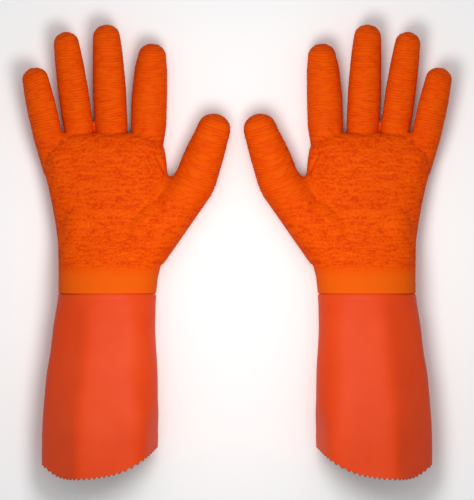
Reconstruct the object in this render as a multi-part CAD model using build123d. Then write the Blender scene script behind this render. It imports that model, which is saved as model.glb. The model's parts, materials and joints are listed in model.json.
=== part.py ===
"""A pair of long insulated gloves: a crinkled rubber hand on a knitted liner, and a smooth gauntlet sleeve.

Millimetres. The pair lies on its back on a table, palms up: +Y runs from the hem to the fingertips,
+Z up out of the palm, and the right-hand glove is on the -X side. A glove is first built about its own
centre line, with y measured from the hem. Every finger is a chain of stalls, cut apart at its hinges.
"""

import os
from math import cos, radians, sin

from build123d import *

# ---- driving dimensions ----
sleeve_length = 130.0  # hem to wrist
palm_length = 114.0  # wrist to the crotches between the fingers
wrist_width = 69.0
wrist_thickness = 52.0
knuckle_thickness = 32.0
mouth_width = 86.0  # the sleeve at its hem
mouth_thickness = 66.0
pair_gap = 13.4  # between the two thumbs
coat_wall = 1.1  # crinkled rubber on the hand
liner_wall = 1.3  # insulating knit inside it
sleeve_wall = 0.9  # smooth gauntlet
lining_wall = 0.8  # jersey backing of the gauntlet
layer_gap = 0.1  # between a coat and its liner
hinge_gap = 0.5  # between two pieces that turn on each other
tooth_pitch = 4.7  # pinked hem
tooth_depth = 1.8
hem_low = -23.5  # x of the hem's lowest place, from the middle of the mouth
hem_rise = (9.0, 25.0)  # how much shorter the sleeve is at its little-finger side and its thumb side
hem_curve = (2, 3)  # how late it rises to each of those
wrist_flex = 30.0  # each way
row_centre = -4.9  # x of the middle of the row of fingers
knuckle_tuck = 4.0  # how much narrower the palm is than the row of fingers

# the palm's sections: share of its length, centre x, and share of the way from the wrist's width and
# thickness to the knuckles'
palm_shape = [
    (0.0, 0.5, 0.0, 0.0),
    (0.193, 2.5, 0.26, 0.35),
    (0.395, 4.0, 0.58, 0.7),
    (0.614, 2.0, 0.89, 0.85),
    (0.825, -3.0, 1.0, 1.0),
    (0.947, -4.5, 0.79, 1.35),
]
# the sleeve's sections: share of its length, centre x, and share of the way from the wrist's size to the
# mouth's
sleeve_shape = [
    (0.0, -3.5, 1.0, 1.0),
    (0.192, -3.2, 1.03, 1.0),
    (0.477, -3.2, 0.59, 0.71),
    (0.746, -1.8, 0.29, 0.29),
    (1.0, 0.5, 0.0, 0.0),
]

# ---- fingers, from the thumb's side across ----
# beside: space to the finger before it. back: how far its root is set back. lean: towards +X, degrees.
# stops: the hinges, then the tip, along the finger. radii: at each of those. lift: height of the axis over
# lying on the table. curl: climb of each stall, degrees. flex: how far each hinge bends. turn: share of the
# lean that its hinges take, so that the curled fingers pass each other.
fingers = {
    "index": dict(
        beside=0.0, back=0.0, lean=2.6, stops=(2.5, 25.0, 45.0, 63.0), radii=(11.8, 11.3, 10.3, 9.3),
        lift=1.0, curl=(3.0, 7.0, 11.0), flex=(70.0, 80.0, 48.0), turn=0.4,
    ),
    "middle": dict(
        beside=3.5, back=0.0, lean=-2.4, stops=(2.5, 30.0, 53.0, 76.5), radii=(11.5, 12.0, 11.0, 9.7),
        lift=1.0, curl=(3.0, 7.0, 11.0), flex=(70.0, 80.0, 48.0), turn=0.4,
    ),
    "ring": dict(
        beside=0.5, back=0.0, lean=-8.0, stops=(2.5, 28.0, 50.0, 71.5), radii=(10.5, 11.2, 10.3, 9.2),
        lift=3.6, curl=(3.0, 7.0, 11.0), flex=(70.0, 80.0, 48.0), turn=0.6,
    ),
    "little": dict(
        beside=0.0, back=5.6, lean=-12.5, stops=(2.5, 26.0, 52.0), radii=(10.4, 10.9, 9.7),
        lift=8.0, curl=(3.0, 9.0), flex=(70.0, 80.0), turn=0.4,
    ),
}
stall_names = {2: ("lower", "tip"), 3: ("lower", "middle", "tip")}
axis_height = 0.3  # hinge above the stall's own axis, as a share of its radius
stub_reach = 26.0  # how far a finger's root runs back inside the palm
stub_taper = 0.72

# ---- thumb ----
# the ball of the thumb, and then its first hinge: shares of the palm's width and length, and z
ball_place = (0.272, 0.272, 21.0)
ball_radius = 18.5
thumb_place = (0.676, 0.689, 19.8)
thumb_lengths = (21.8, 18.7)  # of its two stalls, up to the tip's centre
thumb_leans = (22.4, 14.2)  # towards +X, degrees
thumb_climbs = (7.2, 10.8)
thumb_radii = (14.4, 12.6, 10.4)
thumb_flex = (30.0, 45.0)
thumb_roll = 60.0  # how far its bend is turned out of the palm's plane, degrees

# ---- derived ----
wrist_y = sleeve_length
crotch_y = wrist_y + palm_length
liner_inset = coat_wall + layer_gap
lining_inset = sleeve_wall + layer_gap
row_width = sum(f["beside"] + 2 * f["radii"][0] for f in fingers.values())
loft_run = 14.0  # how far a hull runs on past an end that is cut open
reach = 200.0  # larger than any piece, for cutting tools


def sections(shape, length, width, thickness):
    """The shape's ellipses as y, centre x, width, thickness, growing from the wrist's size to that given."""
    return [
        (
            share * length, x,
            wrist_width + (width - wrist_width) * wider,
            wrist_thickness + (thickness - wrist_thickness) * thicker,
        )
        for share, x, wider, thicker in shape
    ]


palm_sections = sections(palm_shape, palm_length, row_width - knuckle_tuck, knuckle_thickness)
sleeve_sections = sections(sleeve_shape, sleeve_length, mouth_width, mouth_thickness)


def root_x(name):
    """The x of a finger's root: the fingers stand side by side in their row."""
    x = row_centre + row_width / 2
    for other, f in fingers.items():
        x -= f["beside"] + f["radii"][0]
        if other == name:
            return x
        x -= f["radii"][0]


def tube(start, end, start_radius, end_radius, run_in=0.0, run_out=0.0):
    """A round taper from start to end, carried on past each end by the run given there."""
    along = end - start
    slope = (end_radius - start_radius) / along.length
    foot = start - along.normalized() * run_in
    low, high = start_radius - slope * run_in, end_radius + slope * run_out
    length = along.length + run_in + run_out
    if abs(high - low) < 1e-6:
        return Plane(foot, z_dir=along) * Cylinder(low, length, align=(Align.CENTER, Align.CENTER, Align.MIN))
    return Plane(foot, z_dir=along) * Cone(low, high, length, align=(Align.CENTER, Align.CENTER, Align.MIN))


def section_loft(stack, base_y, inset, run_out=0.0):
    """A smooth hull through ellipses that all lie on the table, each inset by a wall. It starts before its
    first section, and the ends that are open in the piece are cut afterwards, so layers stay parallel."""
    rings = [(base_y + y, x, w, t) for y, x, w, t in stack]
    rings.insert(0, (rings[0][0] - loft_run, *rings[0][1:]))
    if run_out:
        rings.append((rings[-1][0] + run_out, *rings[-1][1:]))
    faces = [
        Plane((x, y, t / 2), x_dir=(1, 0, 0), z_dir=(0, 1, 0)) * Ellipse(w / 2 - inset, t / 2 - inset)
        for y, x, w, t in rings
    ]
    return loft(faces)


class Hinge:
    """A bend line: pivot, axis, and the plane that it parts two pieces on."""

    def __init__(self, name, pivot, axis, up, flex, back_flex=0.0):
        self.name, self.pivot = name, pivot
        self.axis = axis.normalized()
        self.up = (up - self.axis * up.dot(self.axis)).normalized()
        self.ahead = self.up.cross(self.axis)
        self.flex, self.back_flex = flex, back_flex

    def block(self, side, tilt):
        """All on one side (1 ahead, -1 behind) of a plane through the pivot, leant back by tilt degrees."""
        lean = radians(tilt)
        facing = self.ahead * cos(lean) * side - self.up * sin(lean)
        plane = Plane(self.pivot + facing * hinge_gap / 2, x_dir=self.axis, z_dir=facing)
        return plane * Box(reach, reach, reach, align=(Align.CENTER, Align.CENTER, Align.MIN))

    def keep(self, shape, side):
        """The shape on one side, cut back so that it can bend."""
        return shape & self.block(side, self.flex / 2) & self.block(side, -self.back_flex / 2)


def finger_chain(name):
    """The finger's axis points, radii and hinges."""
    f = fingers[name]
    lean = radians(f["lean"])
    flat = Vector(sin(lean), cos(lean), 0)
    root = Vector(root_x(name), crotch_y - f["back"], f["radii"][0] + f["lift"])
    point = root + flat * f["stops"][0]
    points = [point]
    tip_radius = f["radii"][-1]
    for i, climb in enumerate(f["curl"]):
        run = f["stops"][i + 1] - f["stops"][i]
        if i == len(f["curl"]) - 1:
            run -= tip_radius
        slope = radians(climb)
        point = point + (flat * cos(slope) + Vector(0, 0, sin(slope))) * run
        points.append(point)
    turn = lean * f["turn"]
    axis = Vector(cos(turn), -sin(turn), 0)
    hinges = []
    for i, flex in enumerate(f["flex"]):
        pivot = points[i] + Vector(0, 0, 1) * f["radii"][i] * axis_height
        ahead = (points[i + 1] - points[i]).normalized()
        hinges.append(Hinge(f"{name}_{i}", pivot, axis, axis.cross(ahead), flex))
    return points, list(f["radii"]), hinges


def on_palm(place):
    """A point given as shares of the palm's width and length, and a height."""
    return Vector(place[0] * row_width, wrist_y + place[1] * palm_length, place[2])


def thumb_chain():
    """The thumb's axis points, radii and hinges. It bends across the palm as well as out of it."""
    points = [on_palm(thumb_place)]
    for length, lean, climb in zip(thumb_lengths, thumb_leans, thumb_climbs):
        lean, climb = radians(lean), radians(climb)
        ahead = Vector(sin(lean) * cos(climb), cos(lean) * cos(climb), sin(climb))
        points.append(points[-1] + ahead * length)
    roll = radians(thumb_roll)
    hinges = []
    for i, flex in enumerate(thumb_flex):
        ahead = (points[i + 1] - points[i]).normalized()
        across = Vector(0, 0, 1).cross(ahead).normalized()
        out = ahead.cross(across)
        bend_to = across * cos(roll) + out * sin(roll)
        pivot = points[i] + bend_to * thumb_radii[i] * axis_height
        hinges.append(Hinge(f"thumb_{i}", pivot, ahead.cross(bend_to), bend_to, flex))
    return points, list(thumb_radii), hinges


def chain_of(name):
    return thumb_chain() if name == "thumb" else finger_chain(name)


chains = {name: chain_of(name) for name in ("thumb", "index", "middle", "ring", "little")}
wrist = Hinge(
    "wrist", Vector(palm_sections[0][1], wrist_y, palm_sections[0][3] / 2),
    Vector(-1, 0, 0), Vector(0, 0, 1), wrist_flex, wrist_flex,
)


def stall(name, i, inset, run=6.0):
    """One stall of a finger, solid, inset by a wall; the last one ends in a dome."""
    points, radii, _ = chains[name]
    last = i == len(points) - 2
    body = tube(points[i], points[i + 1], radii[i] - inset, radii[i + 1] - inset, run, 0.0 if last else run)
    if last:
        body += Pos(*points[i + 1]) * Sphere(radii[i + 1] - inset)
    return body


def stall_layer(name, i, outer, wall):
    """One layer of a stall, open where it meets its neighbours and parted from them at the hinges."""
    hinges = chains[name][2]
    layer = stall(name, i, outer) - stall(name, i, outer + wall, run=8.0)
    layer = hinges[i].keep(layer, 1)
    if i + 1 < len(hinges):
        layer = hinges[i + 1].keep(layer, -1)
    return layer


def stub(name, inset, run_out):
    """The root of a finger, inside the palm and up to its first hinge."""
    points, radii, hinges = chains[name]
    if name == "thumb":
        return tube(on_palm(ball_place), points[0], ball_radius - inset, radii[0] - inset, 0.0, run_out)
    back = (points[1] - points[0]).normalized()
    back = Vector(back.X, back.Y, 0).normalized()
    start = points[0] - back * stub_reach
    return tube(start, points[0], radii[0] * stub_taper - inset, radii[0] - inset, 0.0, run_out)


def palm_body(inset, run):
    """The palm, solid, inset by a wall. With no run its finger roots stop at their hinges."""
    y, *top = palm_sections[-1]
    body = section_loft([*palm_sections[:-1], (y - inset, *top)], wrist_y, inset)
    for name in chains:
        root = stub(name, inset, 8.0 + run)
        body += root if run else chains[name][2][0].keep(root, -1)
    return body


def palm_layer(outer, wall):
    return wrist.keep(palm_body(outer, 0.0) - palm_body(outer + wall, 4.0), -1)


def hem_cutter():
    """Everything beyond the pinked hem. The hem's sides rise, as it is cut with the sleeve pressed flat."""
    middle, half = sleeve_sections[0][1], mouth_width / 2
    spare = 2 * tooth_pitch
    teeth = round(2 * (half + spare) / tooth_pitch)
    step = 2 * (half + spare) / teeth
    outline = []
    for i in range(2 * teeth + 1):
        x = -half - spare + i * step / 2
        side = 1 if x > hem_low else 0
        share = (x - hem_low) / (half - hem_low) if side else (hem_low - x) / (half + hem_low)
        rise = hem_rise[side] * share ** hem_curve[side]
        outline.append((middle + x, rise + (tooth_depth if i % 2 else 0.0)))
    outline += [(middle + half + spare, -20.0), (middle - half - spare, -20.0)]
    return Pos(0, 0, -20) * extrude(make_face(Polyline(*outline, close=True)), reach)


def sleeve_layer(outer, wall, hem):
    """One layer of the sleeve, from the pinked hem to the wrist."""
    body = section_loft(sleeve_sections, 0.0, outer, loft_run)
    body -= section_loft(sleeve_sections, 0.0, outer + wall, loft_run)
    return wrist.keep(body - hem, 1)


def hand_nodes():
    """Every node of the right-hand glove, about its own centre line."""
    hem = hem_cutter()
    nodes = {
        "sleeve": sleeve_layer(0.0, sleeve_wall, hem),
        "sleeve_lining": sleeve_layer(lining_inset, lining_wall, hem),
        "palm_coat": palm_layer(0.0, coat_wall),
        "palm_liner": palm_layer(liner_inset, liner_wall),
    }
    for name, (points, _, _) in chains.items():
        for i, part in enumerate(stall_names[len(points) - 1]):
            nodes[f"{name}_{part}_coat"] = stall_layer(name, i, 0.0, coat_wall)
            nodes[f"{name}_{part}_liner"] = stall_layer(name, i, liner_inset, liner_wall)
    return nodes


# ---- placing the pair about the middle of its own footprint ----
def furthest(direction):
    """How far the fingers reach in a direction."""
    stops = [stop for points, radii, _ in chains.values() for stop in zip(points[1:], radii[1:])]
    return max(point.dot(direction) + radius for point, radius in stops)


overall_length = furthest(Vector(0, 1, 0))
shift_x = -(furthest(Vector(1, 0, 0)) + pair_gap / 2)
shift_y = -overall_length / 2
place_right = Pos(shift_x, shift_y, 0)


def main():
    os.makedirs("parts", exist_ok=True)
    for name, shape in hand_nodes().items():
        right = place_right * shape
        export_step(right, f"parts/right_{name}.step")
        export_step(mirror(right, about=Plane.YZ), f"parts/left_{name}.step")


main()
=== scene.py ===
import json
from math import atan2, cos, pi, radians, sin

import bmesh
import bpy
import numpy as np
from mathutils import Matrix, Vector, noise


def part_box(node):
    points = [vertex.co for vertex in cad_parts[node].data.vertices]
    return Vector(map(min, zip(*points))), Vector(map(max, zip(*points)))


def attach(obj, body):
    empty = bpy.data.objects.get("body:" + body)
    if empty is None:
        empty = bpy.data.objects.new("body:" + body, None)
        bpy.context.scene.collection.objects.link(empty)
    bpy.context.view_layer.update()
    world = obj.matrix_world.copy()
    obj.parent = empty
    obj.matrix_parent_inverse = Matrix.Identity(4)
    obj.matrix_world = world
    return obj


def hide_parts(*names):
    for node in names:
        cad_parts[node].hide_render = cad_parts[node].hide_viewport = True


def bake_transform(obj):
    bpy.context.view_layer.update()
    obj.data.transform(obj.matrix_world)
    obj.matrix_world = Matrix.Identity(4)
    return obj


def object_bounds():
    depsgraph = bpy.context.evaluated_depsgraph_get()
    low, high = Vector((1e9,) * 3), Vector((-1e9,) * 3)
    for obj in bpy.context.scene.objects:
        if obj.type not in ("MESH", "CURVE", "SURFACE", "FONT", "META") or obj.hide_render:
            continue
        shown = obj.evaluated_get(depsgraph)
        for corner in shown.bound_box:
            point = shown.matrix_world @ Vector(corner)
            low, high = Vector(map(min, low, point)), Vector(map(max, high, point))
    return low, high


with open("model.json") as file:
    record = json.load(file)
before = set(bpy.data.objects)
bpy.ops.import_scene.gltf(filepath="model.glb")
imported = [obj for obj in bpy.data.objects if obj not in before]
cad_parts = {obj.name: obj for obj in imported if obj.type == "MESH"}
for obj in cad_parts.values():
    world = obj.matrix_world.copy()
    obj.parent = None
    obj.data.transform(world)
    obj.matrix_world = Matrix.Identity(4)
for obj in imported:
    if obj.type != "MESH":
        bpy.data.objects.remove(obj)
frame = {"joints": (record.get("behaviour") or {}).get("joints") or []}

mm = 0.001
wristZone = 13.0  # a distance each side of the wrist
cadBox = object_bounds()
joints = {j["name"]: j for j in frame["joints"]}

# The right-hand glove is made at its place in the frame, palm up and fingers towards +Y.
# The left-hand one is its mirror image across the YZ plane.

glove = {
    "coatWall": 1.1 * mm,
    "linerWall": 1.3 * mm,
    "layerGap": 0.1 * mm,
    "sleeveWall": 0.9 * mm,
    "liningWall": 0.8 * mm,
    "axisHeight": 0.3,  # a finger's hinge stands this share of its radius above its axis
    "voxel": 1.02 * mm,
    "stretch": (1.5, 1.8, 1.0),  # finer across and along the fingers than through them
    "linerShare": 0.16,  # of the coat's faces
}

wristAt = Vector(joints["right_wrist"]["pos_m"])
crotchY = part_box("right_palm_coat")[1].y - 2.5 * mm
palmLength = crotchY - wristAt.y


def smoothStep(x, low, high):
    t = np.clip((x - low) / (high - low), 0, 1)
    return t * t * (3 - 2 * t)



# along: from the wrist, in palm lengths. x: middle, from the wrist. The rest are half the width, the
# height of the top over the table, and the height of the bottom.
palmRings = [
    (-0.06, 0.0, 34.2, 52.0, 0.0),
    (0.0, 0.2, 34.6, 51.8, 0.0),
    (0.10, 0.8, 35.2, 48.4, 0.0),
    (0.20, 2.2, 36.8, 45.0, 0.0),
    (0.30, 3.4, 38.2, 41.6, 0.0),
    (0.42, 3.6, 40.2, 38.0, 0.0),
    (0.54, 2.6, 41.8, 36.2, 0.0),
    (0.66, 1.2, 43.4, 35.0, 0.0),
    (0.78, -1.6, 44.2, 33.6, 0.2),
    (0.88, -3.8, 44.4, 31.8, 0.8),
    (0.955, -4.8, 42.6, 28.4, 2.2),
    (0.985, -5.0, 39.0, 24.4, 4.2),
]

# width: half of it, at the root inside the palm, at each hinge and near the tip. rise: lifts the axis
# over the frame's. shift: moves it towards the thumb. zone: lengths before and after each hinge, which
# place the seams.
fingerPlan = {
    "thumb": {
        "stalls": ("lower", "tip"), "width": (18.4, 15.2, 13.8, 11.9), "flat": 0.96,
        "reach": 54, "shift": (0.0, -0.4, -1.4, -2.2), "rise": (0.0, 0.0, 0.0, 0.0),
        "zone": ((3.5, 10.0), (7.0, 7.0)),
    },
    "index": {
        "stalls": ("lower", "middle", "tip"), "width": (9.0, 12.6, 12.6, 11.5, 10.1), "flat": 1.0,
        "reach": 26, "shift": (0.0, -0.2, -0.5, -0.2, 0.2), "rise": (-2.0, 0.4, 0.2, 0.0, 0.0),
        "zone": ((2.0, 13.0), (8.0, 8.0), (5.5, 6.0)),
    },
    "middle": {
        "stalls": ("lower", "middle", "tip"), "width": (9.0, 11.7, 11.8, 10.8, 9.7), "flat": 1.0,
        "reach": 26, "shift": (0.0, 0.4, 0.3, 0.2, 0.0), "rise": (-2.0, -0.2, 0.0, 0.0, 0.0),
        "zone": ((2.0, 14.0), (9.0, 9.0), (6.0, 6.5)),
    },
    "ring": {
        "stalls": ("lower", "middle", "tip"), "width": (8.6, 10.6, 10.8, 10.0, 9.1), "flat": 1.0,
        "reach": 26, "shift": (0.0, 0.0, 0.0, 0.0, 0.0), "rise": (-3.0, 0.6, 0.4, 0.2, 0.2),
        "zone": ((2.0, 13.5), (8.5, 8.5), (5.5, 6.0)),
    },
    "little": {
        "stalls": ("lower", "tip"), "width": (8.6, 10.5, 10.4, 9.4), "flat": 1.0,
        "reach": 26, "shift": (-0.6, -0.4, -0.4, -0.3), "rise": (-5.0, 0.4, 0.2, 0.2),
        "zone": ((2.0, 13.0), (8.5, 8.5)),
    },
}

# soft swellings: x and y from the wrist (y in palm lengths), z, half sizes along x, y and z, and a turn
swellings = {
    "heel": (-17.0, 0.36, 20.0, 17.0, 30.0, 18.5, 6),
    "ballOfThumb": (22.0, 0.36, 22.0, 16.0, 31.0, 18.6, -36),
    "fingerPad": (-5.0, 0.835, 17.0, 41.0, 16.5, 14.6, 3),
    "littlePad": (-30.0, 0.80, 18.0, 15.0, 18.0, 13.4, 10),
    "indexPad": (24.0, 0.86, 16.0, 15.0, 14.0, 14.0, 0),
}


# A finger's axis, read from the frame's hinges.
class Finger:
    def __init__(self, name):
        plan = fingerPlan[name]
        self.name, self.plan = name, plan
        self.bodies = [f"right_{name}_{part}" for part in plan["stalls"]]
        hinges = [joints[body + "_bend"] for body in self.bodies]
        self.pivots = [Vector(j["pos_m"]) for j in hinges]
        self.axes = [Vector(j["axis"]) for j in hinges]
        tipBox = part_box(self.bodies[-1] + "_coat")
        tipRadius = plan["width"][-1] * mm
        aims = [(b - a).normalized() for a, b in zip(self.pivots, self.pivots[1:])]
        last = aims[-1] + Vector((0, 0, 0.07))
        aims.append(last.normalized())
        ups = [axis.cross(aim).normalized() for axis, aim in zip(self.axes, aims)]
        down = glove["axisHeight"]
        self.hinges = [
            p - up * width * mm * down for p, up, width in zip(self.pivots, ups, plan["width"][1:])
        ]
        if name == "thumb":
            end = self.hinges[-1] + aims[-1] * (tipBox[1].y - tipRadius - self.hinges[-1].y) / aims[-1].y
        else:
            end = self.hinges[-1] + aims[-1] * ((tipBox[1].y - self.hinges[-1].y) / aims[-1].y - tipRadius)
        first = (self.hinges[1] - self.hinges[0]).normalized()
        root = self.hinges[0] - Vector((first.x, first.y, 0)).normalized() * plan["reach"] * mm
        if name == "thumb":
            root = Vector((wristAt.x + 25.0 * mm, wristAt.y + 0.272 * palmLength, 21.0 * mm))
        stops = [root, *self.hinges, end]
        self.stops = [
            stop + Vector((shift * mm, 0, rise * mm))
            for stop, shift, rise in zip(stops, plan["shift"], plan["rise"])
        ]
        self.aims = [(b - a).normalized() for a, b in zip(self.stops, self.stops[1:])]

    # Where a piece starts: a point and the way the finger runs there. The first is at the root.
    def seam(self, i):
        if i == 0:
            return self.stops[1] - self.aims[1] * self.plan["zone"][0][0] * mm, self.aims[1]
        a, b = self.stops[i], self.stops[i + 1]
        start = self.plan["zone"][i - 1][1] * mm
        end = (b - a).length - self.plan["zone"][i][0] * mm
        return a + self.aims[i] * (start + end) / 2, self.aims[i]


fingers = {name: Finger(name) for name in fingerPlan}


# One closed ring of a tube, and its edges.
def addRing(bm, centre, ahead, halfWidth, halfHeight, square=2.0, segments=48):
    across = Vector((0, 0, 1)).cross(ahead) * -1
    across.normalize()
    up = across.cross(ahead).normalized()
    made = bmesh.ops.create_circle(bm, segments=segments, radius=1.0)
    for v in made["verts"]:
        turn = atan2(v.co.y, v.co.x)
        c, s = cos(turn), sin(turn)
        c = abs(c) ** (2 / square) * (1 if c > 0 else -1)
        s = abs(s) ** (2 / square) * (1 if s > 0 else -1)
        v.co = centre + across * c * halfWidth + up * s * halfHeight
    return list({e for v in made["verts"] for e in v.link_edges})


def closeTube(bm, rings):
    for low, high in zip(rings, rings[1:]):
        bmesh.ops.bridge_loops(bm, edges=low + high)
    bmesh.ops.edgeloop_fill(bm, edges=rings[0])
    bmesh.ops.edgeloop_fill(bm, edges=rings[-1])


# A smooth tube along the finger's axis, with a round end.
def addFinger(bm, finger):
    stops, widths = finger.stops, finger.plan["width"]
    runs = [0.0]
    for a, b in zip(stops, stops[1:]):
        runs.append(runs[-1] + (b - a).length)
    tip = widths[-1] * mm
    total = runs[-1] + tip
    rings = []
    ringCount = 46
    for i in range(ringCount):
        turn = i / (ringCount - 1)
        along = total * sin(turn * pi / 2) ** 0.9
        middle = min(along, runs[-1])
        centre = Vector([float(np.interp(middle, runs, [p[k] for p in stops])) for k in range(3)])
        k = min(sum(r < middle for r in runs[1:]), len(finger.aims) - 1)
        centre += finger.aims[-1] * max(along - runs[-1], 0)
        radius = float(np.interp(middle, runs, widths)) * mm
        over = (along - runs[-1]) / tip
        radius *= max(1 - max(over, 0) ** 2.2, 0.0) ** 0.5
        radius = max(radius, 0.4 * mm)
        rings.append(addRing(bm, centre, finger.aims[k], radius, radius * finger.plan["flat"]))
    closeTube(bm, rings)


def addPalm(bm):
    rings = []
    for along, x, half, top, bottom in palmRings:
        centre = wristAt + Vector((x * mm, along * palmLength, 0))
        centre.z = (top + bottom) / 2 * mm
        high = (top - bottom) / 2 * mm
        rings.append(addRing(bm, centre, Vector((0, 1, 0)), half * mm, high, 2.25, 96))
    closeTube(bm, rings)


def addSwelling(bm, place):
    x, along, z, wide, long, high, turn = place
    middle = Vector((wristAt.x + x * mm, wristAt.y + along * palmLength, z * mm))
    size = Vector((wide * mm, long * mm, high * mm))
    matrix = Matrix.Translation(middle) @ Matrix.Rotation(radians(turn), 4, "Z")
    matrix = matrix @ Matrix.Diagonal(size.to_4d())
    bmesh.ops.create_uvsphere(bm, u_segments=48, v_segments=24, radius=1.0, matrix=matrix)


# The object's mesh with its modifiers applied.
def settled(obj):
    mesh = bpy.data.meshes.new_from_object(obj.evaluated_get(bpy.context.evaluated_depsgraph_get()))
    for modifier in list(obj.modifiers):
        obj.modifiers.remove(modifier)
    obj.data = mesh
    return obj


def newObject(name, bm):
    mesh = bpy.data.meshes.new(name)
    bm.to_mesh(mesh)
    bm.free()
    obj = bpy.data.objects.new(name, mesh)
    bpy.context.scene.collection.objects.link(obj)
    return obj


def coordinates(mesh):
    co = np.zeros(len(mesh.vertices) * 3)
    mesh.vertices.foreach_get("co", co)
    return co.reshape(-1, 3)


# A vertex group from a weight for each point, in steps of a tenth.
def addGroup(obj, name, weights):
    group = obj.vertex_groups.new(name=name)
    for level in range(1, 11):
        chosen = np.nonzero(np.round(weights * 10) == level)[0]
        if len(chosen):
            group.add(chosen.tolist(), level / 10, "REPLACE")


# The whole hand as one smooth closed skin.
def handForm(name, voxel, stretch):
    bm = bmesh.new()
    addPalm(bm)
    for finger in fingers.values():
        addFinger(bm, finger)
    for place in swellings.values():
        addSwelling(bm, place)
    bmesh.ops.recalc_face_normals(bm, faces=bm.faces)
    bmesh.ops.scale(bm, vec=stretch, verts=bm.verts)
    obj = newObject(name, bm)
    remesh = obj.modifiers.new("Remesh", "REMESH")
    remesh.mode = "VOXEL"
    remesh.voxel_size = voxel
    settled(obj)
    obj.data.transform(Matrix.Diagonal((1 / stretch[0], 1 / stretch[1], 1 / stretch[2], 1)))
    co = coordinates(obj.data)
    web = smoothStep(co[:, 1], crotchY - 16 * mm, crotchY - 5 * mm)
    web *= 1 - smoothStep(co[:, 1], crotchY + 1 * mm, crotchY + 6 * mm)
    thumbWeb = fingers["thumb"].stops[1] + Vector((-17.0 * mm, 2 * mm, 0))
    away = np.linalg.norm(co[:, :2] - np.array(thumbWeb[:2]), axis=1)
    ball = 1 - smoothStep(away, 10 * mm, 26 * mm)
    low = 0.22 * (1 - smoothStep(co[:, 1], crotchY - 20 * mm, crotchY - 6 * mm))
    corner = 0.9 * (1 - smoothStep(co[:, 1], wristAt.y + 14 * mm, wristAt.y + 34 * mm))
    weights = np.maximum.reduce([web * 0.85, ball, low + 0.02, corner])
    addGroup(obj, "soften", weights)
    soften = obj.modifiers.new("Soften", "SMOOTH")
    soften.iterations = 24
    soften.factor = 0.7
    soften.vertex_group = "soften"
    addGroup(obj, "web", 1 - smoothStep(away, 5 * mm, 15 * mm))
    rounder = obj.modifiers.new("Rounder", "SMOOTH")
    rounder.iterations = 110
    rounder.factor = 0.9
    rounder.vertex_group = "web"
    allOver = obj.modifiers.new("AllOver", "SMOOTH")
    allOver.iterations = 3
    allOver.factor = 0.5
    settled(obj)
    return obj


crinkle = {
    "fingerDepth": 0.64 * mm,
    "palmDepth": 0.26 * mm,
    "fingerPitch": 2.0 * mm,
    "palmPitch": 1.5 * mm,
    "fingerSpan": 10.0 * mm,  # how long a ridge runs before it breaks
    "palmSpan": 2.0 * mm,
    "band": 12.0 * mm,  # the smooth band above the wrist
}


# Rounded ridges with sharp valleys, longer across than they are high.
def billow(co, phase, span, pitch, seed):
    x, z = co[:, 0] / span + seed, co[:, 2] / span
    y = phase / pitch
    values = [abs(noise.noise((a, b, c))) for a, b, c in zip(x, y, z)]
    return np.minimum(np.array(values) * 2.6, 1.0)


# How far each point stands out of the smooth form, and its ridge height from 0 to 1.
def crinkleField(co):
    phase = co[:, 1].copy()
    palmWeight = np.ones(len(co)) * 0.02
    total = palmWeight.copy()
    mixed = phase * palmWeight
    fingerShare = np.zeros(len(co))
    for finger in fingers.values():
        base, aim = np.array(finger.stops[1]), np.array(finger.aims[1])
        tipAim = np.array(finger.aims[-1])
        along = (co - base) @ aim
        side = np.linalg.norm(co - base - np.outer(along, aim), axis=1)
        reach = 17 * mm if finger.name == "thumb" else 13 * mm
        near = 1 - smoothStep(side, reach * 0.8, reach * 1.5)
        early = -22 * mm if finger.name == "thumb" else -7 * mm
        share = near * smoothStep(along, early, early + 14 * mm)
        mixed += share * (base[1] + along + 0.15 * ((co - base) @ tipAim - along))
        total += share
        fingerShare = np.maximum(fingerShare, share)
    phase = mixed / total
    warp = np.array([noise.noise((a, b, c)) for a, b, c in co / (11 * mm)])
    swing = np.array([noise.noise((a, b, c)) for a, b, c in co / (26 * mm) + 7.3])
    phase += warp * 0.9 * mm + swing * 1.4 * mm
    long = billow(co, phase, crinkle["fingerSpan"], crinkle["fingerPitch"], 3.1)
    rows = np.abs(np.sin(pi * phase / (crinkle["fingerPitch"] * 0.92))) ** 0.7
    onFinger = 0.45 * long + 0.55 * rows
    pebble = billow(co, phase, crinkle["palmSpan"], crinkle["palmPitch"], 11.7)
    lines = billow(co, phase, crinkle["fingerSpan"] * 1.4, crinkle["fingerPitch"] * 1.1, 21.3)
    onPalm = 0.6 * pebble + 0.4 * lines
    height = onFinger * fingerShare + onPalm * (1 - fingerShare)
    depth = crinkle["fingerDepth"] * fingerShare + crinkle["palmDepth"] * (1 - fingerShare)
    patchy = 0.8 + 0.45 * swing
    fade = smoothStep(co[:, 1] - wristAt.y, crinkle["band"], crinkle["band"] + 9 * mm)
    return (height - 0.6) * depth * patchy * fade, 0.6 + (height - 0.6) * fade


# creases: from and to, x and y from the wrist, then depth and half width
creases = {
    "web": ((33.0, 102.0), (42.5, 82.5), 1.3, 1.3),
    "life": ((38.0, 92.0), (16.0, 30.0), 0.15, 3.0),
}


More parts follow.
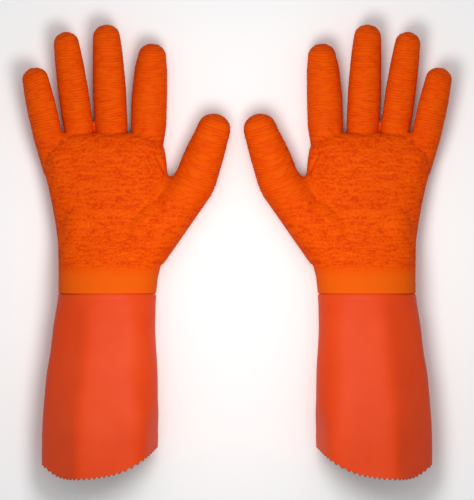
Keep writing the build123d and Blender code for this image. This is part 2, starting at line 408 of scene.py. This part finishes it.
# Folds pressed into the palm side: one at each finger's root, and those of the table above.
def creaseField(co, normals):
    sunk = np.zeros(len(co))
    palmSide = smoothStep(normals[:, 2], -0.1, 0.35)
    for start, end, depth, half in creases.values():
        a = np.array([wristAt.x + start[0] * mm, wristAt.y + start[1] * mm])
        b = np.array([wristAt.x + end[0] * mm, wristAt.y + end[1] * mm])
        t = np.clip(((co[:, :2] - a) @ (b - a)) / ((b - a) @ (b - a)), 0, 1)
        away = np.linalg.norm(co[:, :2] - a - np.outer(t, b - a), axis=1)
        ends = smoothStep(t, 0.0, 0.25) * (1 - smoothStep(t, 0.85, 1.0))
        sunk += depth * mm * np.exp(-((away / (half * mm)) ** 2)) * palmSide * ends
    for name, finger in fingers.items():
        if name == "thumb":
            continue
        base, aim = np.array(finger.stops[1]), np.array(finger.aims[1])
        across = np.array([aim[1], -aim[0], 0])
        along = (co - base) @ aim + 4.2 * mm
        side = (co - base) @ across / (finger.plan["width"][1] * mm)
        bow = along + 3.6 * mm * side**2 - 1.6 * mm
        inside = 1 - smoothStep(np.abs(side), 0.75, 1.15)
        outer = 0.45 + 0.55 * smoothStep(-side, -0.6, 0.7)
        sunk += 0.9 * mm * np.exp(-((bow / (1.9 * mm)) ** 2)) * palmSide * inside * outer
    return sunk


def vertexNormals(mesh):
    normals = np.zeros(len(mesh.vertices) * 3)
    mesh.vertices.foreach_get("normal", normals)
    return normals.reshape(-1, 3)


# The right hand's coat: one skin, crinkled, with what its pieces need kept on its points.
def makeHand():
    hand = handForm("handForm", glove["voxel"], glove["stretch"])
    mesh = hand.data
    liner = hand.copy()
    liner.data = mesh.copy()
    bpy.context.scene.collection.objects.link(liner)
    co, normals = coordinates(mesh), vertexNormals(mesh)
    out, height = crinkleField(co)
    sunk = creaseField(co, normals)
    shaped = co + normals * (out - sunk)[:, None]
    shaped[:, 2] = np.maximum(shaped[:, 2], 0.0)
    mesh.vertices.foreach_set("co", shaped.ravel())
    mesh.update()
    smoothCo = co - normals * sunk[:, None]
    for name, values, kind in (
        ("smoothCo", smoothCo, "FLOAT_VECTOR"), ("smoothNormal", normals, "FLOAT_VECTOR"),
        ("crinkleNormal", vertexNormals(mesh), "FLOAT_VECTOR"), ("ridge", height, "FLOAT"),
    ):
        attribute = mesh.attributes.new(name, kind, "POINT")
        attribute.data.foreach_set("vector" if kind == "FLOAT_VECTOR" else "value", values.ravel())
    return hand, liner


cuff = {"edge": 0.0, "heelTop": 0.44}  # where the coat ends, and the seam across the palm, in palm lengths


def alongFinger(finger, point, i):
    at, aim = finger.seam(i)
    return (point - at).dot(aim)


# The finger whose free part holds a point, or None.
def fingerOf(point):
    best, found = 1e9, None
    for finger in fingers.values():
        along = (point - finger.stops[1]).dot(finger.aims[1])
        if along < -(finger.plan["zone"][0][0] + 1.5) * mm:
            continue
        side = 1e9
        for a, b in zip(finger.stops[1:], finger.stops[2:]):
            t = min(max((point - a).dot(b - a) / (b - a).length_squared, -0.3), 1.6)
            side = min(side, (point - a - (b - a) * t).length)
        if side < best and side < 19 * mm:
            best, found = side, finger
    return found


def cutAcross(bm, faces, at, aim):
    geom = set(faces)
    for f in faces:
        geom.update(f.edges)
        geom.update(f.verts)
    bmesh.ops.bisect_plane(bm, geom=list(geom), plane_co=at, plane_no=aim, dist=1e-7)


# Cuts a whole hand at its seams and gives each piece's faces a number. Returns the bmesh and the names.
def handPieces(hand):
    bm = bmesh.new()
    bm.from_mesh(hand.data)
    names = ["heel", "palm"]
    bottom = wristAt + Vector((0, cuff["edge"] * palmLength, 0))
    bmesh.ops.bisect_plane(
        bm, geom=[*bm.verts, *bm.edges, *bm.faces], plane_co=bottom, plane_no=(0, 1, 0), clear_inner=True,
    )
    seamY = wristAt.y + cuff["heelTop"] * palmLength
    near = [f for f in bm.faces if abs(f.calc_center_median().y - seamY) < 2 * mm]
    cutAcross(bm, near, Vector((0, seamY, 0)), Vector((0, 1, 0)))
    layer = bm.faces.layers.int.new("piece")
    owner = {f: fingerOf(f.calc_center_median()) for f in bm.faces}
    for finger in fingers.values():
        for i in range(len(finger.bodies)):
            at, aim = finger.seam(i)
            mine = [
                f for f in bm.faces
                if owner.get(f) is finger and abs((f.calc_center_median() - at).dot(aim)) < 2.0 * mm
            ]
            cutAcross(bm, mine, at, aim)
            for f in bm.faces:
                if f not in owner:
                    owner[f] = finger
    for name, finger in fingers.items():
        names += [f"{name}_{part}" for part in finger.plan["stalls"]]
    for f in bm.faces:
        middle = f.calc_center_median()
        finger = owner[f]
        number = 0 if middle.y < seamY else 1
        if finger is not None and alongFinger(finger, middle, 0) > 0:
            part = sum(alongFinger(finger, middle, i) > 0 for i in range(len(finger.bodies))) - 1
            number = names.index(f"{finger.name}_{finger.plan['stalls'][part]}")
        f[layer] = number
    return bm, names


# Gives a skin its thickness: a smooth wall inside it, closed along the cut edges.
def wallInward(bm, wall):
    base = bm.verts.layers.float_vector["smoothCo"]
    out = bm.verts.layers.float_vector["smoothNormal"]
    inner = bm.faces.layers.int.new("inner")
    skin = list(bm.faces)
    made = bmesh.ops.extrude_face_region(bm, geom=[*skin, *bm.edges], use_keep_orig=True)
    moved = [v for v in made["geom"] if isinstance(v, bmesh.types.BMVert)]
    turned = [f for f in made["geom"] if isinstance(f, bmesh.types.BMFace)]
    bmesh.ops.reverse_faces(bm, faces=bm.faces)
    for v in moved:
        v.co = v[base] - v[out] * wall
    skin = set(skin)
    turned = set(turned)
    for f in bm.faces:
        f[inner] = 0 if f in skin else 1 if f in turned else 2
        f.smooth = f[inner] < 2


def handPiece(source, number, wall):
    bm = source.copy()
    layer = bm.faces.layers.int["piece"]
    bmesh.ops.delete(bm, geom=[f for f in bm.faces if f[layer] != number], context="FACES")
    wallInward(bm, wall)
    return bm


# The left-hand copy of a right-hand piece.
def mirrored(bm):
    other = bm.copy()
    bmesh.ops.scale(other, vec=(-1, 1, 1), verts=other.verts)
    for name in ("smoothCo", "smoothNormal", "crinkleNormal"):
        layer = other.verts.layers.float_vector.get(name)
        if layer:
            for v in other.verts:
                v[layer] = Vector((-v[layer].x, v[layer].y, v[layer].z))
    bmesh.ops.reverse_faces(other, faces=other.faces)
    return other


# Shades each piece as part of the whole skin, so that its seams don't show.
def keepNormals(mesh):
    count = len(mesh.loops)
    owner = np.zeros(count, np.int32)
    mesh.loops.foreach_get("vertex_index", owner)
    stored = np.zeros(len(mesh.vertices) * 3, np.float32)
    mesh.attributes["crinkleNormal"].data.foreach_get("vector", stored)
    stored = stored.reshape(-1, 3)
    sizes = np.zeros(len(mesh.polygons), np.int32)
    mesh.polygons.foreach_get("loop_total", sizes)
    faceOf = np.repeat(np.arange(len(sizes)), sizes)
    kind = np.zeros(len(sizes), np.int32)
    mesh.attributes["inner"].data.foreach_get("value", kind)
    flat = np.zeros(len(sizes) * 3, np.float32)
    mesh.polygons.foreach_get("normal", flat)
    flat = flat.reshape(-1, 3)
    now = np.zeros(count * 3, np.float32)
    mesh.corner_normals.foreach_get("vector", now)
    now = now.reshape(-1, 3).copy()
    outer = kind[faceOf] == 0
    now[outer] = stored[owner[outer]]
    rim = kind[faceOf] == 2
    now[rim] = flat[faceOf[rim]]
    mesh.normals_split_custom_set(now.tolist())


def tidyLayers(mesh):
    for name in ("smoothCo", "smoothNormal", "crinkleNormal", "inner", "piece"):
        if name in mesh.attributes:
            mesh.attributes.remove(mesh.attributes[name])


def mirrorPoint(point, side):
    return Vector((point.x if side == "right" else -point.x, point.y, point.z))


# Puts one piece of a hand layer in the scene, on its body or across its joint.
def addCoat(bm, side, name, material, layerName):
    piece = newObject(f"{side}_{name}_{layerName}_skin", bm)
    if "crinkleNormal" in piece.data.attributes and layerName == "coat":
        keepNormals(piece.data)
    tidyLayers(piece.data)
    piece.data.materials.append(material)
    if name == "palm":
        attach(piece, f"{side}_palm")
        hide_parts(f"{side}_palm_{layerName}")
    elif name == "heel":
        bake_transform(piece)
        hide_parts(f"{side}_palm_{layerName}")
    else:
        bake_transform(piece)
        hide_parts(f"{side}_{name}_{layerName}")
    return piece


sleeve = {
    "teeth": 52,
    "toothDepth": 1.9,
    "rows": 64,
    "top": 143.2,  # it ends under the coat's band
    "hemLow": -23.5,
    "hemRise": (9.0, 25.0),
    "hemCurve": (2, 3),
    "hemMiddle": -3.5,
    "hemHalf": 43,
    "readAt": 8.0,  # the height over the hem at which a point's x is taken for its rise
}
# y over the hem, centre x, half width, half thickness, height of the middle
sleeveRings = [
    (0.0, -3.4, 43.0, 32.6, 32.6),
    (12.0, -3.4, 43.1, 32.6, 32.6),
    (29.0, -3.2, 43.3, 32.4, 32.4),
    (42.0, -3.5, 42.3, 31.8, 31.8),
    (55.0, -3.7, 40.7, 31.0, 31.0),
    (72.0, -3.1, 39.2, 29.8, 29.8),
    (89.0, -2.1, 37.4, 28.4, 28.4),
    (106.0, -1.4, 36.0, 27.0, 27.0),
    (123.0, 0.1, 34.8, 26.0, 26.0),
    (128.6, 0.7, 34.7, 25.9, 26.0),
    (130.6, 0.7, 33.1, 24.3, 25.8),
    (137.0, 1.1, 33.2, 23.2, 24.9),
    (144.0, 1.5, 33.6, 22.2, 23.8),
]
# flats that the sleeve has fallen into: which way each faces at the hem and at the wrist (degrees, 90 is
# up), its distance from the middle as a share of the half thickness, and where along the sleeve it fades
flats = [
    {"hem": 87, "wrist": 86, "near": 0.86, "far": 1.0, "fade": (100, 142)},
    {"hem": 141, "wrist": 122, "near": 0.955, "far": 1.0, "fade": (95, 135)},
    {"hem": 14, "wrist": 30, "near": 1.16, "far": 1.35, "fade": (30, 66)},
    {"hem": -90, "wrist": -90, "near": 0.93, "far": 0.99, "fade": (60, 140)},
]
hemY = wristAt.y - 130.0 * mm


# A point of the sleeve's surface, by the way round it and the height over the hem, in metres.
def sleevePoint(turn, y, inset):
    heights = [r[0] for r in sleeveRings]
    x, wide, high, low = (float(np.interp(y, heights, [r[k] for r in sleeveRings])) for k in (1, 2, 3, 4))
    c, s = cos(turn), sin(turn)
    hull = 1 / ((c / wide) ** 2 + (s / high) ** 2) ** 0.5
    power = 16
    total = (1 / hull) ** power
    for flat in flats:
        share = float(smoothStep(y, *flat["fade"]))
        facing = radians(flat["hem"] + (flat["wrist"] - flat["hem"]) * min(y / 130, 1))
        far = (flat["near"] + (flat["far"] - flat["near"]) * share) * high
        lean = cos(turn - facing)
        if lean > 0.05 and share < 1:
            total += (lean / far) ** power * (1 - share)
    radius = total ** (-1 / power)
    place = Vector((c * 40, y, s * 40)) / 34
    radius += 0.9 * noise.noise(place) * float(smoothStep(130 - y, 0, 60))
    radius -= inset
    return Vector((wristAt.x + (x + c * radius - 0.5) * mm, hemY + y * mm, (low + s * radius) * mm))


# One layer of the sleeve as a closed shell, with pinked teeth along its hem.
def sleeveLayer(name, inset, wall, topY):
    around, rows = sleeve["teeth"] * 4, sleeve["rows"]
    bm = bmesh.new()
    bm.loops.layers.uv.new("UVMap")
    bmesh.ops.create_grid(bm, x_segments=around, y_segments=rows, size=0.5, calc_uvs=True)
    for v in bm.verts:
        share, turn = v.co.y + 0.5, (v.co.x + 0.5) * 2 * pi
        step = round((v.co.x + 0.5) * around)
        x = sleevePoint(turn, sleeve["readAt"], 0)[0] / mm - wristAt.x / mm - sleeve["hemMiddle"]
        side = 1 if x > sleeve["hemLow"] else 0
        span = sleeve["hemHalf"] + (-sleeve["hemLow"] if side else sleeve["hemLow"])
        away = min(abs(x - sleeve["hemLow"]) / span, 1.05)
        rise = sleeve["hemRise"][side] * away ** sleeve["hemCurve"][side]
        tooth = (0, 0.5, 1, 0.5)[step % 4] * sleeve["toothDepth"] * (1 - min(share * rows / 1.5, 1))
        y = rise + tooth + share**1.15 * (topY - rise)
        v.co = sleevePoint(turn, y, inset)
    bmesh.ops.remove_doubles(bm, verts=bm.verts, dist=0.01 * mm)
    bmesh.ops.recalc_face_normals(bm, faces=bm.faces)
    obj = newObject(name, bm)
    solid = obj.modifiers.new("Wall", "SOLIDIFY")
    solid.thickness = wall
    solid.offset = -1
    solid.use_even_offset = True
    settled(obj)
    for polygon in obj.data.polygons:
        polygon.use_smooth = True
    return obj


def newMaterial(name):
    material = bpy.data.materials.new(name)
    material.use_nodes = True
    return material, material.node_tree.nodes, material.node_tree.links


def noiseNode(nodes, links, vector, scale, detail=3.0, roughness=0.5):
    node = nodes.new("ShaderNodeTexNoise")
    node.inputs["Scale"].default_value = scale
    node.inputs["Detail"].default_value = detail
    node.inputs["Roughness"].default_value = roughness
    links.new(vector, node.inputs["Vector"])
    return node


def rampNode(nodes, links, value, stops):
    node = nodes.new("ShaderNodeValToRGB")
    ramp = node.color_ramp
    while len(ramp.elements) < len(stops):
        ramp.elements.new(0.5)
    for element, (place, colour) in zip(ramp.elements, stops):
        element.position = place
        element.color = (*colour, 1)
    links.new(value, node.inputs["Fac"])
    return node


def mixNode(nodes, links, kind, share, a, b):
    node = nodes.new("ShaderNodeMix")
    node.data_type, node.blend_type = "RGBA", kind
    if isinstance(share, float):
        node.inputs[0].default_value = share
    else:
        links.new(share, node.inputs[0])
    for socket, value in ((node.inputs[6], a), (node.inputs[7], b)):  # its colour sockets
        if isinstance(value, tuple):
            socket.default_value = (*value, 1)
        else:
            links.new(value, socket)
    return node.outputs[2]


# Crinkled natural rubber: orange, with painted shade that makes the crinkle's valleys darker and redder,
# and a smooth paler band at its cuff.
def coatMaterial():
    material, nodes, links = newMaterial("crinkled_rubber")
    shader = nodes["Principled BSDF"]
    where = nodes.new("ShaderNodeTexCoord").outputs["Object"]
    ridge = nodes.new("ShaderNodeAttribute")
    ridge.attribute_name = "ridge"
    # the ridge height picks the colour: the dark red of the low valleys is painted shade, the orange of
    # the ridge tops is the rubber's own
    colour = rampNode(nodes, links, ridge.outputs["Fac"], [
        (0.05, (0.54, 0.030, 0.0)), (0.45, (0.71, 0.062, 0.0)), (0.95, (0.77, 0.092, 0.0)),
    ])
    patches = noiseNode(nodes, links, where, 45, 4)
    tint = rampNode(nodes, links, patches.outputs["Fac"], [
        (0.3, (0.97, 0.93, 1.0)), (0.7, (1.0, 1.05, 1.0)),
    ])
    base = mixNode(nodes, links, "MULTIPLY", 1.0, colour.outputs["Color"], tint.outputs["Color"])
    split = nodes.new("ShaderNodeSeparateXYZ")
    links.new(where, split.inputs["Vector"])
    band = nodes.new("ShaderNodeMapRange")
    band.inputs["From Min"].default_value = wristAt.y + crinkle["band"] + 7.0 * mm
    band.inputs["From Max"].default_value = wristAt.y + crinkle["band"] - 1.0 * mm
    links.new(split.outputs["Y"], band.inputs["Value"])
    base = mixNode(nodes, links, "MIX", band.outputs["Result"], base, (0.72, 0.096, 0.002))
    links.new(base, shader.inputs["Base Color"])
    shader.inputs["Roughness"].default_value = 0.7
    shader.inputs["Specular IOR Level"].default_value = 0.04
    fine = noiseNode(nodes, links, where, 1500, 3, 0.6)
    pores = noiseNode(nodes, links, where, 520, 2, 0.5)
    grain = mixNode(nodes, links, "ADD", 0.5, fine.outputs["Color"], pores.outputs["Color"])
    bump = nodes.new("ShaderNodeBump")
    bump.inputs["Strength"].default_value = 0.5
    bump.inputs["Distance"].default_value = 0.25 * mm
    links.new(grain, bump.inputs["Height"])
    links.new(bump.outputs["Normal"], shader.inputs["Normal"])
    return material


# Smooth dipped sleeve: red-orange, satin, faintly clouded.
def sleeveMaterial():
    material, nodes, links = newMaterial("smooth_sleeve")
    shader = nodes["Principled BSDF"]
    where = nodes.new("ShaderNodeTexCoord").outputs["Object"]
    clouds = noiseNode(nodes, links, where, 28, 5, 0.55)
    colour = rampNode(nodes, links, clouds.outputs["Fac"], [
        (0.3, (0.65, 0.050, 0.006)), (0.55, (0.68, 0.056, 0.008)), (0.75, (0.70, 0.064, 0.011)),
    ])
    links.new(colour.outputs["Color"], shader.inputs["Base Color"])
    shader.inputs["Roughness"].default_value = 0.5
    shader.inputs["Specular IOR Level"].default_value = 0.10
    grain = noiseNode(nodes, links, where, 900, 3, 0.6)
    ripple = noiseNode(nodes, links, where, 60, 2, 0.5)
    height = mixNode(nodes, links, "ADD", 0.85, grain.outputs["Color"], ripple.outputs["Color"])
    bump = nodes.new("ShaderNodeBump")
    bump.inputs["Strength"].default_value = 0.25
    bump.inputs["Distance"].default_value = 0.3 * mm
    links.new(height, bump.inputs["Height"])
    links.new(bump.outputs["Normal"], shader.inputs["Normal"])
    return material


# Undyed knit: columns of stitches, each a little V, with painted shade making the low gaps between
# stitches darker.
def knitMaterial(name, light, stitchShade, pitch):
    material, nodes, links = newMaterial(name)
    shader = nodes["Principled BSDF"]
    where = nodes.new("ShaderNodeTexCoord").outputs["Object"]
    waves = []
    for direction, spread in (("X", 1.0), ("Y", 0.8)):
        wave = nodes.new("ShaderNodeTexWave")
        wave.bands_direction = direction
        wave.inputs["Scale"].default_value = spread / pitch / 3.2
        wave.inputs["Distortion"].default_value = 1.2
        wave.inputs["Detail"].default_value = 1.0
        links.new(where, wave.inputs["Vector"])
        waves.append(wave.outputs["Fac"])
    stitches = nodes.new("ShaderNodeMath")
    stitches.operation = "MULTIPLY"
    links.new(waves[0], stitches.inputs[0])
    links.new(waves[1], stitches.inputs[1])
    # the dark colour at low stitch height is painted shade in the gaps between stitches
    colour = rampNode(nodes, links, stitches.outputs["Value"], [(0.0, stitchShade), (0.8, light)])
    links.new(colour.outputs["Color"], shader.inputs["Base Color"])
    shader.inputs["Roughness"].default_value = 0.95
    shader.inputs["Sheen Weight"].default_value = 0.4
    bump = nodes.new("ShaderNodeBump")
    bump.inputs["Strength"].default_value = 0.8
    bump.inputs["Distance"].default_value = 0.4 * mm
    links.new(stitches.outputs["Value"], bump.inputs["Height"])
    links.new(bump.outputs["Normal"], shader.inputs["Normal"])
    return material


rubber = coatMaterial()
smooth = sleeveMaterial()
knit = knitMaterial("insulating_knit", (0.80, 0.74, 0.62), (0.42, 0.36, 0.28), 1.6 * mm)
jersey = knitMaterial("jersey_lining", (0.82, 0.62, 0.48), (0.50, 0.34, 0.24), 0.9 * mm)
print("materials made")

hand, linerHand = makeHand()
print("hand skin:", len(hand.data.polygons), "faces")
whole, names = handPieces(hand)
for number, name in enumerate(names):
    bm = handPiece(whole, number, glove["coatWall"])
    left = mirrored(bm)
    addCoat(bm, "right", name, rubber, "coat")
    addCoat(left, "left", name, rubber, "coat")
whole.free()
bpy.data.objects.remove(hand)
print("coat pieces made")

linerInset = glove["coatWall"] + glove["layerGap"] + 0.15 * mm
thinned = linerHand.modifiers.new("Thinned", "DECIMATE")
thinned.ratio = glove["linerShare"]
settled(linerHand)
co, normals = coordinates(linerHand.data), vertexNormals(linerHand.data)
sunk = creaseField(co, normals)
linerCo = co - normals * (sunk + linerInset)[:, None]
linerHand.data.vertices.foreach_set("co", linerCo.ravel())
for name, values in (("smoothCo", linerCo), ("smoothNormal", normals)):
    attribute = linerHand.data.attributes.new(name, "FLOAT_VECTOR", "POINT")
    attribute.data.foreach_set("vector", values.ravel())
cuff["edge"] = 14.5 * mm / palmLength
whole, names = handPieces(linerHand)
for number, name in enumerate(names):
    bm = handPiece(whole, number, glove["linerWall"])
    left = mirrored(bm)
    addCoat(bm, "right", name, knit, "liner")
    addCoat(left, "left", name, knit, "liner")
whole.free()
bpy.data.objects.remove(linerHand)
print("liner pieces made")

for nodeName, inset, wall, top, material, slotName in (
    ("sleeve", 0.0, glove["sleeveWall"], sleeve["top"], smooth, "smooth_sleeve"),
    ("sleeve_lining", 1.0, glove["liningWall"], sleeve["top"] - 0.6, jersey, "sleeve_lining"),
):
    right = sleeveLayer(f"right_{nodeName}_skin", inset, wall, top)
    bm = bmesh.new()
    bm.from_mesh(right.data)
    left = newObject(f"left_{nodeName}_skin", mirrored(bm))
    bm.free()
    for side, piece in (("right", right), ("left", left)):
        piece.data.materials.clear()
        piece.data.materials.append(material)
        low = mirrorPoint(wristAt - Vector((0, wristZone * mm, 0)), side)
        high = mirrorPoint(wristAt + Vector((0, wristZone * mm, 0)), side)
        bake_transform(piece)
        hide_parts(f"{side}_{nodeName}")
print("sleeves made")

low, high = cadBox
middle = (low + high) / 2
stage = {"floor": 6.0, "floorColour": (0.94, 0.95, 0.96), "distance": 2.2, "frameHeight": 0.3525}


def addFloor():
    bm = bmesh.new()
    bmesh.ops.create_grid(bm, x_segments=1, y_segments=1, size=stage["floor"] / 2)
    floor = newObject("floor", bm)
    floor.data.transform(Matrix.Translation((0, 0, low.z - 0.3 * mm)))
    material, nodes, links = newMaterial("floor_paper")
    shader = nodes["Principled BSDF"]
    shader.inputs["Base Color"].default_value = (*stage["floorColour"], 1)
    shader.inputs["Roughness"].default_value = 0.9
    floor.data.materials.append(material)


def addLight(name, place, size, power, colour):
    data = bpy.data.lights.new(name, "AREA")
    data.shape = "DISK"
    data.size = size
    data.energy = power
    data.color = colour
    light = bpy.data.objects.new(name, data)
    light.location = place
    light.rotation_euler = (middle - Vector(place)).to_track_quat("-Z", "Y").to_euler()
    light.visible_camera = False
    bpy.context.scene.collection.objects.link(light)


def addCamera():
    data = bpy.data.cameras.new("camera")
    data.sensor_width = 36
    data.lens = 36 * stage["distance"] / stage["frameHeight"]
    camera = bpy.data.objects.new("camera", data)
    camera.location = (middle.x, middle.y + 0.4 * mm, 30 * mm + stage["distance"])
    bpy.context.scene.collection.objects.link(camera)
    bpy.context.scene.camera = camera


addFloor()
addLight("key", (0.0, 0.0, 0.36), 0.16, 0.78, (1.0, 0.98, 0.95))
addLight("high", (0.0, 0.3, 1.6), 1.4, 7.0, (1.0, 1.0, 1.0))
addCamera()
world = bpy.data.worlds.new("studio")
world.use_nodes = True
world.node_tree.nodes["Background"].inputs["Color"].default_value = (1.0, 1.0, 1.0, 1)
world.node_tree.nodes["Background"].inputs["Strength"].default_value = 0.38
bpy.context.scene.world = world
bpy.context.scene.view_settings.view_transform = "Standard"

print("cad", [round(v * 1000, 1) for p in cadBox for v in p])
